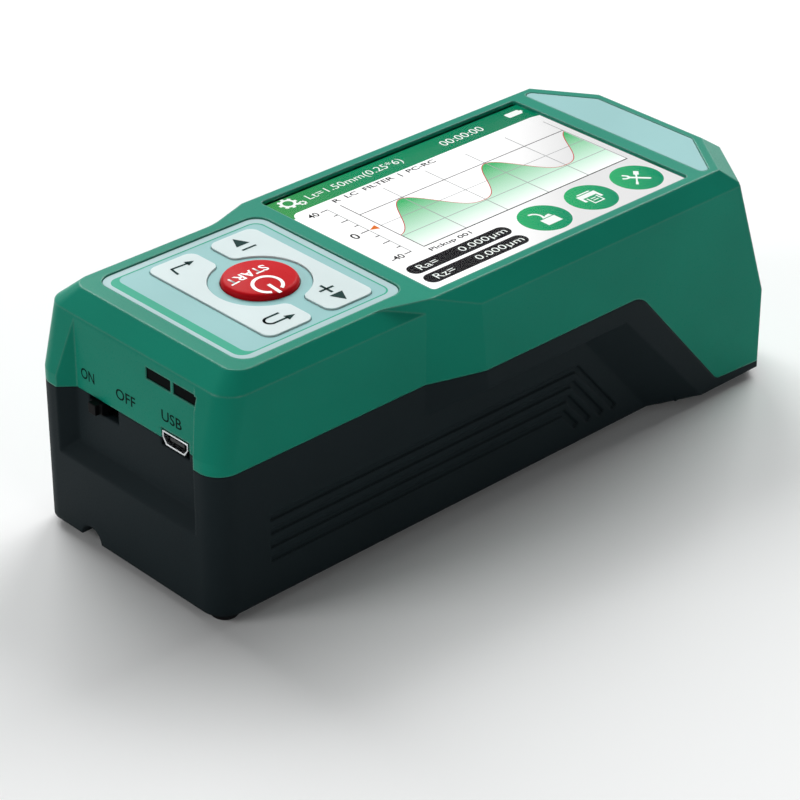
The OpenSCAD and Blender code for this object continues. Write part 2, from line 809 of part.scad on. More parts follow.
// Main board behind the display, with its larger chips
module main_board() color(board_green) place() {
  difference() {
    block([main_x0, -main_half, main_z], [main_x1, main_half, lcd_z]);
    for (s = [-1, 1], x = [main_screw_x, main_x1 - bolt_boss_r])
      translate([x, s * main_screw_in, main_z - 1]) cylinder(r = bolt_r + 0.15, h = board_t + 2);
  }
  for (n = [-1 : 1])
    translate([chip_x, n * chip_pitch - chip_l / 2, main_z - chip_t]) cube([chip_l, chip_l, chip_t]);
}

// Rechargeable pack, taped under the main board
module battery_pack() color([0.2, 0.35, 0.6]) place()
  translate([screen_x + 5 + battery_l / 2, 0, main_z - battery_t]) linear_extrude(height = battery_t)
    round_rect(battery_l, battery_w, battery_r);

// Keypad overlay with the openings of the keys
module keypad_overlay() color(pale) place() difference() {
  translate([keypad_x + keypad_l / 2, 0, pocket_z]) linear_extrude(height = overlay_t)
    round_rect(keypad_l - 0.2, keypad_w - 0.2, pocket_r - 0.1);
  translate([0, 0, pocket_z - 1]) linear_extrude(height = overlay_t + 2) {
    for (side = [-1, 1]) key_plan(side, key_clear);
    translate([button_cx, 0]) circle(d = button_d + 2 * key_clear);
  }
}

// Red start button: a domed cap on a flange that stops under the overlay
module start_button() color([0.82, 0.13, 0.15]) place() {
  r = button_d / 2;
  top = overlay_z + button_rise - (pocket_z - 0.2 - flange_t);
  dome = 0.35;
  dome_r = (pow(r - crown_r, 2) + dome * dome) / (2 * dome);
  translate([button_cx, 0, pocket_z - 0.2 - flange_t]) {
    cylinder(r = r + flange_over, h = flange_t);
    intersection() {
      rotate_extrude() union() {
        square([r - crown_r, top + dome]);
        square([r, top - crown_r]);
        translate([r - crown_r, top - crown_r]) circle(r = crown_r);
      }
      translate([0, 0, top + dome - dome_r]) sphere(r = dome_r, $fn = 160);
    }
  }
}

// Rocker key: a C-shaped cap that tips over a half-round rib at its middle
module rocker_key(side) {
  reach = side * (key_gap / 2 + key_w);
  web = key_gap / 2 + key_w - ring_d / 2;
  translate([0, 0, key_base]) linear_extrude(height = overlay_z + key_rise - key_base) key_plan(side, 0);
  translate([button_cx + (side > 0 ? reach - web + 0.3 : reach + 0.3), 0, key_base]) rod_x(rib_r, web - 0.6);
}

module enter_key() color(mint) place() rocker_key(-1);

module adjust_key() color(mint) place() rocker_key(1);

// Silicone mat with a dome under the button and under each end of the rocker keys
module key_mat() color([0.75, 0.77, 0.76]) place() {
  mat_x0 = keypad_x + key_lip_x + 0.3;
  mat_x1 = keypad_x + keypad_l - key_lip_x - 0.3;
  block([mat_x0, -mat_half + 0.3, pad_top], [mat_x1, mat_half - 0.3, mat_top]);
  translate([button_cx, 0, mat_top]) cylinder(r = 3, h = dome_h / 2);
  for (side = [-1, 1], s = [-1, 1])
    translate([button_cx + side * (key_gap + key_w) / 2, s * (key_l / 2 - 4), mat_top])
      cylinder(r = 2, h = dome_h);
}

// Circuit board under the mat
module keypad_board() color(board_green) place() difference() {
  block([pad_x0, -pad_half, pad_z], [pad_x1, pad_half, pad_top]);
  for (s = [-1, 1], x = [pad_x0 + pad_screw_in, pad_x1 - pad_screw_in])
    translate([x, s * pad_screw_y, pad_z - 1]) cylinder(r = bolt_r + 0.15, h = board_t + 2);
}

// The ten small screws of the three boards
module board_screws() color(steel) place() {
  for (s = [-1, 1]) {
    for (x = [pad_x0 + pad_screw_in, pad_x1 - pad_screw_in])
      translate([x, s * pad_screw_y, pad_z]) pan_screw(bolt_r, bolt_l, bolt_head_r, bolt_head_h);
    for (x = [main_screw_x, main_x1 - bolt_boss_r])
      translate([x, s * main_screw_in, main_z]) pan_screw(bolt_r, bolt_l, bolt_head_r, bolt_head_h);
    translate([end_board_x + board_t, s * end_screw_y, end_screw_z]) rotate([0, -90, 0])
      pan_screw(bolt_r, bolt_l, bolt_head_r, bolt_head_h);
  }
}

// Two dark windows on one light guide, fitted from inside
module indicator_lens() color([0.05, 0.07, 0.07]) place() {
  for (s = [-1, 1]) {
    y = -lens_y + s * (lens_l + lens_gap) / 2;
    block([recess_d + 0.25, y - lens_l / 2 + lens_fit, lens_z - lens_h / 2 + lens_fit],
          [end_in, y + lens_l / 2 - lens_fit, lens_z + lens_h / 2 - lens_fit]);
  }
  block([end_in, -lens_y - lens_l - lens_gap / 2 - lens_edge, lens_z - lens_h / 2 - lens_edge],
        [end_in + lens_plate, -lens_y + lens_l + lens_gap / 2 + lens_edge, lens_z + lens_h / 2 + lens_edge]);
}

// Upright board behind the connector end
module end_board() color(board_green) place() difference() {
  block([end_board_x, -end_board_half, end_board_z0], [end_board_x + board_t, end_board_half, end_board_z1]);
  for (s = [-1, 1])
    translate([end_board_x - 1, s * end_screw_y, end_screw_z]) rod_x(bolt_r + 0.15, board_t + 2);
}

// Body of the slide switch, with the slot that the knob runs in
module switch_body() color([0.3, 0.3, 0.32]) place() difference() {
  block([end_in + switch_clear, switch_y - switch_w / 2, knob_z - switch_h / 2],
        [end_board_x, switch_y + switch_w / 2, knob_z + switch_h / 2]);
  run = (knob_travel + knob_w) / 2 + 0.2;
  block([0, switch_y - run, knob_z - knob_h / 2 - 0.15],
        [end_in + switch_clear + knob_base + 0.4, switch_y + run, knob_z + knob_h / 2 + 0.15]);
}

// Slide knob, at ON on the left end of its travel
module switch_knob() color(black) place() {
  y = switch_y + knob_travel / 2;
  block([end_in + switch_clear + 0.2, y - knob_w / 2, knob_z - knob_h / 2],
        [end_in + switch_clear + 0.2 + knob_base, y + knob_w / 2, knob_z + knob_h / 2]);
  across_w = knob_w * 0.62;
  block([recess_d - knob_out * 0.4, y - knob_w / 2, knob_z - knob_h / 2],
        [end_in + switch_clear + 0.2, y + knob_w / 2, knob_z + knob_h / 2]);
  block([recess_d - knob_out, y - across_w / 2, knob_z - knob_h / 2],
        [recess_d - knob_out * 0.4, y + across_w / 2, knob_z + knob_h / 2]);
}

// Outline of the socket, set in by i, wide at the top
function usb_outline(i) =
  let (h = usb_h / 2 - i, w = usb_w / 2 - i, foot = w - usb_flank)
  [[-usb_y - w, usb_z + h], [-usb_y - w, usb_z], [-usb_y - foot, usb_z - h],
   [-usb_y + foot, usb_z - h], [-usb_y + w, usb_z], [-usb_y + w, usb_z + h]];

// Folded metal shell of the socket
module usb_shell() color(steel) place() difference() {
  translate([recess_d - 0.1, 0, 0]) along(usb_outline(0), end_board_x - recess_d + 0.1);
  translate([recess_d - 1, 0, 0]) along(usb_outline(usb_t), end_board_x - recess_d + 2);
}

// Plastic insert with the tongue of the socket
module usb_insulator() color([0.08, 0.08, 0.09]) place() {
  back = 2.4;
  translate([end_board_x - back, 0, 0]) along(usb_outline(usb_t + 0.02), back);
  block([recess_d + 0.5, -usb_y - usb_w / 2 + 1.7, usb_z - 0.35],
        [end_board_x - back, -usb_y + usb_w / 2 - 1.7, usb_z + 0.35]);
}

// The four long screws that join the halves
module case_screws() color(steel) place()
  for (s = [-1, 1], x = post_xs)
    translate([x, s * post_y, seat_z]) pan_screw(case_screw_r, case_screw_l, case_head_r, case_head_h);

// The four feet, pressed into the underside
module feet() color(black) place()
  for (s = [-1, 1], x = foot_xs) translate([x, s * foot_y, -foot_h]) {
    cylinder(d = foot_d, h = foot_h);
    cylinder(r = stem_r, h = foot_h + stem_l);
  }

// Bracket of the traverse: a base with a plate at each end and a saddle for the motor
module drive_frame() color([0.62, 0.64, 0.66]) place() difference() {
  union() {
    block([rear_x, -base_half, base_z], [front_x + bracket_t, base_half, base_z + base_t]);
    block([motor_x + saddle_in, -motor_w / 3, base_z], [rear_x, motor_w / 3, base_z + base_t]);
    block([motor_x + saddle_in, -motor_w / 3, base_z],
          [gearbox_x - saddle_in, motor_w / 3, drive_z - motor_h / 2]);
    for (x = [rear_x, front_x]) block([x, -plate_half, base_z], [x + bracket_t, plate_half, bracket_top]);
  }
  translate([rear_x - 1, 0, drive_z]) rod_x(shaft_r + 0.6, bracket_t + 2);
  translate([front_x - 1, 0, drive_z]) rod_x(tube_d / 2 + fit + bush_t + 0.02, bracket_t + 2);
  translate([rear_x - 1, 0, rod_z]) rod_x(rod_d / 2 + 0.03, front_x + bracket_t - rear_x + 2);
  for (s = [-1, 1], x = [rear_x + frame_screw_in, front_x - frame_screw_in + bracket_t])
    translate([x, s * frame_screw_y, base_z - 1]) cylinder(r = bolt_r + 0.15, h = base_t + 2);
}

// The four screws that hold the bracket to the floor
module frame_screws() color(steel) place()
  for (s = [-1, 1], x = [rear_x + frame_screw_in, front_x - frame_screw_in + bracket_t])
    translate([x, s * frame_screw_y, base_z + base_t]) rotate([180, 0, 0])
      pan_screw(bolt_r, bolt_l + 1, bolt_head_r, bolt_head_h);

// Flat-sided can of the motor
module motor_can(l, w, h) {
  intersection() {
    rod_x(w / 2, l);
    block([0, -w / 2, -h / 2], [l, w / 2, h / 2]);
  }
}

// Small direct-current motor
module drive_motor() color(steel) place()
  translate([motor_x, 0, drive_z]) {
    motor_can(motor_l, motor_w, motor_h);
    translate([-1.2, 0, 0]) rod_x(2.5, 1.2);
  }

// Reduction gearbox between the motor and the rear plate
module gearbox() color(brass) place()
  translate([gearbox_x, 0, drive_z]) difference() {
    block([0, -motor_w / 2, -motor_h / 2], [gearbox_l, motor_w / 2, motor_h / 2]);
    translate([gearbox_l - 4, 0, 0]) rod_x(shaft_r + fit, 5);
  }

// Coupling with the gearbox shaft, clamped on the lead screw
module shaft_coupling() color(steel) place() {
  translate([gearbox_x + gearbox_l - 3.8, 0, drive_z])
    rod_x(shaft_r, coupling_x - gearbox_x - gearbox_l + 4.8);
  difference() {
    translate([coupling_x, 0, drive_z]) rod_x(coupling_r, coupling_l);
    translate([coupling_x + coupling_l - seat_l, 0, drive_z]) rod_x(screw_d / 2 + 0.02, seat_l + 1);
    translate([coupling_x + coupling_l - seat_l / 2, -0.4, drive_z + screw_d / 2 + 0.4])
      cube([seat_l, 0.8, coupling_r]);
  }
}

// Lead screw; its fine thread is not drawn
module lead_screw() color(steel) place()
  translate([coupling_x + coupling_l - seat_l, 0, drive_z])
    rod_x(screw_d / 2, nut_x + nut_l - coupling_x - coupling_l + seat_l + screw_room);

// Nut on the screw, with an arm that runs on the guide rod
module drive_nut() color(brass) place() difference() {
  union() {
    translate([nut_x, 0, drive_z]) rod_x(nut_r, nut_l);
    block([nut_x, -rod_d / 2 - 1.2, drive_z], [nut_x + nut_l, rod_d / 2 + 1.2, rod_z + rod_d / 2 + 1.2]);
  }
  translate([nut_x - 1, 0, drive_z]) rod_x(screw_d / 2 + fit, nut_l + 2);
  translate([nut_x + nut_l - seat_l, 0, drive_z]) rod_x(tube_d / 2 + 0.02, seat_l + 1);
  translate([nut_x - 1, 0, rod_z]) rod_x(rod_d / 2 + fit, nut_l + 2);
}

// Rod that keeps the nut from turning
module guide_rod() color(steel) place()
  translate([rear_x, 0, rod_z]) rod_x(rod_d / 2, front_x + bracket_t - rear_x);

// Tube that carries the motion from the nut into the bay
module push_tube() color(steel) place()
  translate([nut_x + nut_l - seat_l, 0, drive_z]) difference() {
    rod_x(tube_d / 2, head_x + seat_l - nut_x - nut_l + seat_l);
    translate([-1, 0, 0]) rod_x(tube_in_r, head_x - nut_x - nut_l + seat_l + 1);
  }

// Bronze bush of the push tube
module tube_bush() color(brass) place()
  translate([bush_x, 0, drive_z]) difference() {
    rod_x(tube_d / 2 + fit + bush_t, bush_l);
    translate([-1, 0, 0]) rod_x(tube_d / 2 + fit, bush_l + 2);
  }

// Block on the push tube with the socket of the pickup
module carriage_head() color([0.25, 0.26, 0.28]) place() difference() {
  block([head_x, head_w_in - bay_half, pickup_z - pickup_d / 2 - 0.3],
        [head_x + head_l, bay_half - head_w_in, drive_z + head_top]);
  translate([head_x - 1, 0, drive_z]) rod_x(tube_d / 2 + 0.02, seat_l + 1);
  translate([head_x + head_l - plug_l, 0, pickup_z]) rod_x(plug_r + 0.02, plug_l + 1);
}

// Plug-in pickup: a turned tube with a tapered nose, slotted for the stylus arm
module pickup_body() color([0.55, 0.57, 0.6]) place() difference() {
  translate([pickup_x, 0, pickup_z]) rotate([0, 90, 0]) rotate_extrude()
    polygon([[0, -plug_l], [plug_r, -plug_l], [plug_r, 0], [pickup_d / 2, 0],
      [pickup_d / 2, pickup_l - taper_l], [pickup_d / 2 - taper, pickup_l], [0, pickup_l]]);
  // Slot and pivot of the arm, and the flat that carries the skid
  block([tip_x - arm_l - 2, -slot_half, -far], [far, slot_half, arm_z + 2]);
  translate([tip_x - arm_l, 0, arm_z]) rotate([90, 0, 0])
    cylinder(r = pivot_r + fit, h = 2 * pivot_half + 0.2, center = true);
  block([tip_x - skid_back - skid_r - 1, -far, -far], [far, far, flat_z]);
  // Groove for pulling the pickup out of its socket
  translate([pickup_x + 3, 0, pickup_z]) difference() {
    rod_x(pickup_d, 1.2);
    translate([-1, 0, 0]) rod_x(pickup_d / 2 - 0.5, 4);
  }
}

// Skid: a polished shoe under the flat, split by the slot of the arm
module pickup_skid() color(steel) place() difference() {
  translate([tip_x - skid_back, 0, surface_z + skid_r]) sphere(r = skid_r);
  block([-far, -far, flat_z], [far, far, far]);
  block([-far, -slot_half * 0.7, -far], [far, slot_half * 0.7, far]);
}

// Arm with its pivot pin and a square end for the stylus
module stylus_arm() color(steel) place() {
  translate([tip_x - arm_l, 0, arm_z]) {
    rod_x(arm_r, arm_l);
    rotate([90, 0, 0]) cylinder(r = pivot_r, h = 2 * pivot_half, center = true);
  }
  translate([tip_x, 0, arm_z]) cube([1.2, 1.1, 1.2], center = true);
}

// Diamond-tipped stylus
module stylus_tip() color([0.85, 0.88, 0.9]) place()
  translate([tip_x, 0, surface_z]) rotate_extrude()
    polygon([[0, 0], [tip_r, tip_cone], [tip_r, arm_z - 0.6 - surface_z], [0, arm_z - 0.6 - surface_z]]);

upper_housing();
lower_housing();
end_plate();
screen_window();
lcd_panel();
main_board();
battery_pack();
keypad_overlay();
start_button();
enter_key();
adjust_key();
key_mat();
keypad_board();
board_screws();
indicator_lens();
end_board();
switch_body();
switch_knob();
usb_shell();
usb_insulator();
case_screws();
feet();
drive_frame();
frame_screws();
drive_motor();
gearbox();
shaft_coupling();
lead_screw();
drive_nut();
guide_rod();
push_tube();
tube_bush();
carriage_head();
pickup_body();
pickup_skid();
stylus_arm();
stylus_tip();
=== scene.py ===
import json
import math

import bmesh
import bpy
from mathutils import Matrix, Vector

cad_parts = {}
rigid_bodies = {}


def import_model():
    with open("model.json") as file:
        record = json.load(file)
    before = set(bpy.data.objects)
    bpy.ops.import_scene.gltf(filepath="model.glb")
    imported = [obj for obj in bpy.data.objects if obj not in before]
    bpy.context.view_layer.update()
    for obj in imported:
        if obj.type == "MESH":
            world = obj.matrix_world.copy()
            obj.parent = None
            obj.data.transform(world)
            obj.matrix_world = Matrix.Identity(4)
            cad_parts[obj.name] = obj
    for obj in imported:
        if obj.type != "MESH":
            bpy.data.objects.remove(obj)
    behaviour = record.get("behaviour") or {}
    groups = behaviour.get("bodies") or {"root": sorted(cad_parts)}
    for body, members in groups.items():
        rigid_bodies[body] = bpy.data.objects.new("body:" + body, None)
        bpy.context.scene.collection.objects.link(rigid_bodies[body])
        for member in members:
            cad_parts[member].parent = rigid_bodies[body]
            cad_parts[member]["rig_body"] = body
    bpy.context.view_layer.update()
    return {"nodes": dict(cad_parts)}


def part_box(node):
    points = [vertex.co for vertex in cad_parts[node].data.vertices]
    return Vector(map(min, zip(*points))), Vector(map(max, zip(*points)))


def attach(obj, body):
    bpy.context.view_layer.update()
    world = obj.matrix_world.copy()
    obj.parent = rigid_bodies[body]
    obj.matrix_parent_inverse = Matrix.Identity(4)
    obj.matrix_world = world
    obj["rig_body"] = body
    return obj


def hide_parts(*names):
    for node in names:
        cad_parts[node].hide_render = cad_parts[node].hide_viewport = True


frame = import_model()
scene = bpy.context.scene
scene.view_settings.view_transform = "Standard"


# Studio: a laminate table top between two large softboxes behind the part and two weaker ones in
# front, in a white room. The camera stands where the photograph was taken, in front of the
# connector end and to its right, with a long lens.
def linear(code):
    """An sRGB hex colour as linear RGBA."""
    parts = [int(code[n:n + 2], 16) / 255 for n in (1, 3, 5)]
    return [c / 12.92 if c <= 0.04045 else ((c + 0.055) / 1.055) ** 2.4 for c in parts] + [1.0]


def put(tree, kind, inputs=(), **settings):
    """Adds one node. An input that is a socket is linked, and any other is set."""
    node = tree.nodes.new(kind)
    for key, value in settings.items():
        setattr(node, key, value)
    for key, value in dict(inputs).items():
        if isinstance(value, bpy.types.NodeSocket):
            tree.links.new(value, node.inputs[key])
        else:
            node.inputs[key].default_value = value
    return node


def new_tree(name):
    """An empty material and its node tree."""
    material = bpy.data.materials.new(name)
    material.use_nodes = True
    material.node_tree.nodes.clear()
    return material, material.node_tree


def link(obj):
    """Puts a new object into the scene."""
    scene.collection.objects.link(obj)
    return obj


# Pressed laminate: a dull, even white that takes a soft shadow.
laminate, tree = new_tree("matt_white_laminate")
shader = put(tree, "ShaderNodeBsdfPrincipled", {
    "Base Color": linear("#F4F5F5"), "Roughness": 0.85})
put(tree, "ShaderNodeOutputMaterial", {"Surface": shader.outputs["BSDF"]})
table_half, table_z = 3.0, -0.00005  # a hair under the feet
table_mesh = bpy.data.meshes.new("table_top")
table_mesh.from_pydata([(x * table_half, y * table_half, table_z)
                        for x, y in ((-1, -1), (1, -1), (1, 1), (-1, 1))], [], [(0, 1, 2, 3)])
table_mesh.materials.append(laminate)
table = link(bpy.data.objects.new("table_top", table_mesh))

# The room is white to the eye, in reflections and through glass, and otherwise only a dim fill.
world = bpy.data.worlds.new("white_room")
world.use_nodes = True
tree = world.node_tree
tree.nodes.clear()
path = put(tree, "ShaderNodeLightPath").outputs
seen = path["Is Camera Ray"]
for kind in ("Is Glossy Ray", "Is Transmission Ray"):
    either = put(tree, "ShaderNodeMath", {0: seen, 1: path[kind]}, operation="MAXIMUM")
    seen = either.outputs["Value"]
level = put(tree, "ShaderNodeMapRange", {"Value": seen, "To Min": 0.06, "To Max": 1.0})
room = put(tree, "ShaderNodeBackground", {
    "Color": (1.0, 1.0, 1.0, 1.0), "Strength": level.outputs["Result"]})
put(tree, "ShaderNodeOutputWorld", {"Surface": room.outputs["Background"]})
scene.world = world

# The back pair stands to either side of the place that the display mirrors to the camera, so
# that no glare veils it.
lamp_aim = Vector((0.0, 0.0, 0.03))
for name, place, size, watts in (
    ("softbox_back", (0.60, 1.84, 1.65), 1.50, 47.0),
    ("softbox_nose", (1.84, 0.60, 1.65), 1.50, 47.0),
    ("softbox_left", (-2.60, 1.20, 1.33), 1.20, 25.0),
    ("softbox_near", (-0.33, -2.90, 1.33), 1.20, 11.0),
):
    lamp = bpy.data.lights.new(name, "AREA")
    lamp.shape = "SQUARE"
    lamp.size = size
    lamp.energy = watts
    holder = link(bpy.data.objects.new(name, lamp))
    holder.visible_camera = False
    holder.location = place
    holder.rotation_euler = (lamp_aim - Vector(place)).to_track_quat("-Z", "Y").to_euler()

# The lens, place and turn were fitted to the corners of the case in the photograph.
lens = bpy.data.cameras.new("camera")
lens.sensor_width = 36.0
lens.lens = 130.27
lens.clip_start = 0.01
camera = link(bpy.data.objects.new("camera", lens))
camera.location = (-0.36798, -0.38223, 0.31960)
camera.rotation_euler = [math.radians(a) for a in (59.531, -0.249, -43.217)]
scene.camera = camera


# Upper half of the case: one injection moulding in green ABS, from a mould with a satin finish
# and small radii on its edges. Four screws from below hold it to the lower half.
def moulded(name, code, roughness, grain, depth, shine=0.5, radius=0.0, edge_sheen=None, **more):
    """A moulded, printed or machined skin: grain in the bump and the gloss, a slow drift of tone
    and, where a radius is given, edges that catch the light as if rounded by it. Where an edge
    sheen is given, the specular level rises near the edges: a painted highlight, pale lines along
    them. Lengths are in millimetres. The real grain of these skins is 0.02 to 0.1 mm, too fine to
    show, so each is drawn several times coarser."""
    material, tree = new_tree(name)
    where = put(tree, "ShaderNodeTexCoord").outputs["Object"]
    fine = put(tree, "ShaderNodeTexNoise", {"Vector": where, "Scale": 1000 / grain, "Detail": 3.0})
    # The tone drifts over about 30 mm, as pigment does in a moulding.
    slow = put(tree, "ShaderNodeTexNoise", {"Vector": where, "Scale": 35.0, "Detail": 2.0})
    tone = put(tree, "ShaderNodeValToRGB", {"Fac": slow.outputs["Fac"]})
    drift = 0.06
    for stop, position, share in zip(tone.color_ramp.elements, (0.3, 0.7), (1 - drift, 1 + drift)):
        stop.position = position
        stop.color = [min(1.0, c * share) for c in linear(code)[:3]] + [1.0]
    gloss = put(tree, "ShaderNodeMapRange", {
        "Value": fine.outputs["Fac"], "From Min": 0.3, "From Max": 0.7,
        "To Min": roughness * 0.88, "To Max": roughness * 1.12})
    bump = put(tree, "ShaderNodeBump", {
        "Height": fine.outputs["Fac"], "Strength": 1.0, "Distance": depth / 1000})
    if radius:
        edge = put(tree, "ShaderNodeBevel", {"Radius": radius / 1000}, samples=6).outputs["Normal"]
        tree.links.new(edge, bump.inputs["Normal"])
    # Painted highlight: near an edge the specular level rises, so the edges show pale lines.
    if edge_sheen:
        # The rounded normal leaves that of the face only near an edge.
        facet = put(tree, "ShaderNodeNewGeometry").outputs["True Normal"]
        turn = put(tree, "ShaderNodeVectorMath", {0: edge, 1: facet}, operation="DOT_PRODUCT")
        shine = put(tree, "ShaderNodeMapRange", {
            "Value": turn.outputs["Value"], "From Min": 0.995, "From Max": 0.95,
            "To Min": shine, "To Max": edge_sheen}).outputs["Result"]
    shader = put(tree, "ShaderNodeBsdfPrincipled", {
        "Base Color": tone.outputs["Color"], "Roughness": gloss.outputs["Result"],
        "Normal": bump.outputs["Normal"], "Specular IOR Level": shine, **more})
    put(tree, "ShaderNodeOutputMaterial", {"Surface": shader.outputs["BSDF"]})
    return material


def painted(node, material):
    """Gives a CAD node one material."""
    slots = frame["nodes"][node].data.materials
    slots.clear()
    slots.append(material)


# Satin ABS: an even green with next to no glare, and thin pale lines along its edges: a painted
# highlight, from a specular level raised near them.
green_abs = moulded("green_abs", "#12866F", 0.30, 0.25, 0.004, 0.05, radius=0.6, edge_sheen=0.4)
painted("upper_housing", green_abs)


# Lower half of the case: one injection moulding in black ABS from a spark-eroded mould, with
# the grip grooves moulded into both sides. It carries the drive, the battery and the feet.
# Spark-eroded ABS: a dull black with a faint grain, in which nothing is mirrored.
black_abs = moulded("black_textured_abs", "#1B2427", 0.52, 0.4, 0.012, 0.05, radius=1.0)
painted("lower_housing", black_abs)


def softened(node, radius, material):
    """A copy of a CAD node with small radii on its edges, in millimetres, in place of the node."""
    solid = frame["nodes"][node]
    form = bmesh.new()
    form.from_mesh(solid.data)
    # The triangles of a flat face become one face, and only true edges are then rounded.
    bmesh.ops.remove_doubles(form, verts=form.verts, dist=2e-6)
    bmesh.ops.dissolve_limit(form, angle_limit=math.radians(0.3),
                             verts=form.verts, edges=form.edges)
    for face in form.faces:
        face.smooth = True
        face.material_index = 0
    mesh = bpy.data.meshes.new(node + "_skin")
    form.to_mesh(mesh)
    form.free()
    if "custom_normal" in mesh.attributes:
        mesh.attributes.remove(mesh.attributes["custom_normal"])
    mesh.materials.append(material)
    piece = link(bpy.data.objects.new(node + "_skin", mesh))
    round_off = piece.modifiers.new("edge radius", "BEVEL")
    round_off.width = radius / 1000
    round_off.segments = 3
    round_off.limit_method = "ANGLE"
    round_off.angle_limit = math.radians(24)
    round_off.miter_outer = "MITER_ARC"
    even = piece.modifiers.new("flat faces stay flat", "WEIGHTED_NORMAL")
    even.keep_sharp = True
    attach(piece, solid["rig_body"])
    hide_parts(node)


# Polycarbonate film: a pale grey-blue, smooth, with a slight sheen.
pale_film = moulded("pale_polycarbonate_film", "#8BBCBC", 0.38, 0.2, 0.002, 0.15)
softened("end_plate", 0.15, pale_film)


# Screen: a lit colour display in a painted steel frame, fixed to the main board behind the
# opening. It shows a measured profile with its scale, two readouts and three touch buttons.
east, north, sky = Vector((1, 0, 0)), Vector((0, 1, 0)), Vector((0, 0, 1))
end_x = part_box("lower_housing")[0].x
picture_zero = Vector((end_x + 0.00062, 0.00062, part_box("lcd_panel")[1].z + 0.00002))
layer_step = 0.000015


def on_screen(layer, a=0.0, b=0.0):
    """A point of the display, in millimetres from its zero in the middle of the connector end.
    Each layer of the picture lies a little above the one before."""
    return picture_zero + sky * (layer * layer_step) + east * (a / 1000) + north * (b / 1000)


def block(a0, b0, a1, b1):
    """A plain rectangle."""
    return [[(a0, b0), (a1, b0), (a1, b1), (a0, b1)]]


def disc(a, b, r, n=48):
    """A filled circle."""
    turn = [2 * math.pi * k / n for k in range(n)]
    return [[(a + r * math.cos(t), b + r * math.sin(t)) for t in turn]]


def stroke(points, w):
    """A line of width w through the points, with round joints."""
    shapes = []
    for (a0, b0), (a1, b1) in zip(points, points[1:]):
        run = math.hypot(a1 - a0, b1 - b0)
        da, db = (b0 - b1) / run * w / 2, (a1 - a0) / run * w / 2
        shapes.append([(a0 - da, b0 - db), (a1 - da, b1 - db),
                       (a1 + da, b1 + db), (a0 + da, b0 + db)])
    for a, b in points[1:-1]:
        shapes += disc(a, b, w / 2, 16)
    return shapes


def rounded(a0, b0, a1, b1, r, n=8):
    """A rectangle with round corners."""
    path = []
    for a, b, start in ((a1 - r, b1 - r, 0), (a0 + r, b1 - r, 90),
                        (a0 + r, b0 + r, 180), (a1 - r, b0 + r, 270)):
        for k in range(n + 1):
            t = math.radians(start + 90 * k / n)
            path.append((a + r * math.cos(t), b + r * math.sin(t)))
    return [path]


def printed(name, shapes, at, material, body):
    """Flat shapes, in millimetres from a point, laid on a surface as print."""
    form = bmesh.new()
    for shape in shapes:
        corners = [at + east * (a / 1000) + north * (b / 1000) for a, b in shape]
        form.faces.new([form.verts.new(corner) for corner in corners])
    mesh = bpy.data.meshes.new(name)
    form.to_mesh(mesh)
    form.free()
    mesh.materials.append(material)
    piece = link(bpy.data.objects.new(name, mesh))
    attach(piece, body)
    return piece


def lettering(name, words, at, height, material, body, width=None, align="LEFT", weight=0.012,
              right=east, up=north):
    """Words as flat print: height is that of the letters and width the whole run, in millimetres.
    The weight thickens the strokes, as a share of the type size."""
    curve = bpy.data.curves.new(name, "FONT")
    curve.body = words
    curve.offset = weight
    curve.resolution_u = 3
    draft = link(bpy.data.objects.new(name + "_draft", curve))
    bpy.context.view_layer.update()
    made = draft.evaluated_get(bpy.context.evaluated_depsgraph_get())
    mesh = bpy.data.meshes.new_from_object(made)
    bpy.data.objects.remove(draft)
    xs = [v.co.x for v in mesh.vertices]
    ys = [v.co.y for v in mesh.vertices]
    tall = height / 1000 / (max(ys) - min(ys))
    wide = width / 1000 / (max(xs) - min(xs)) if width else tall
    start = {"LEFT": min(xs), "CENTER": (min(xs) + max(xs)) / 2, "RIGHT": max(xs)}[align]
    for v in mesh.vertices:
        v.co = at + right * ((v.co.x - start) * wide) + up * ((v.co.y - min(ys)) * tall)
    mesh.name = name
    mesh.materials.append(material)
    piece = link(bpy.data.objects.new(name, mesh))
    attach(piece, body)
    return piece


def lit(name, colours, along=east, low=0.0, high=1.0, strength=1.04):
    """A lit field of the display, which keeps its colour whatever light falls on it: a run of
    colours along a direction, between two places in metres, or one colour all over."""
    material, tree = new_tree(name)
    if isinstance(colours, str):
        glow = linear(colours)
    else:
        where = put(tree, "ShaderNodeTexCoord").outputs["Object"]
        reach = put(tree, "ShaderNodeVectorMath", {0: where, 1: along}, operation="DOT_PRODUCT")
        share = put(tree, "ShaderNodeMapRange", {
            "Value": reach.outputs["Value"], "From Min": low, "From Max": high})
        ramp = put(tree, "ShaderNodeValToRGB", {"Fac": share.outputs["Result"]})
        for n, (position, code) in enumerate(colours):
            stops = ramp.color_ramp.elements
            stop = stops[n] if n < 2 else stops.new(position)
            stop.position = position
            stop.color = linear(code)
        glow = ramp.outputs["Color"]
    shader = put(tree, "ShaderNodeBsdfPrincipled", {
        "Base Color": (0.004, 0.004, 0.004, 1.0), "Roughness": 0.6, "Specular IOR Level": 0.0,
        "Emission Color": glow, "Emission Strength": strength})
    put(tree, "ShaderNodeOutputMaterial", {"Surface": shader.outputs["BSDF"]})
    return material


# Painted steel: a dull dark grey, glimpsed at the rim of the opening.
painted("lcd_panel", moulded("dark_painted_steel", "#2A2D2E", 0.45, 0.3, 0.002))

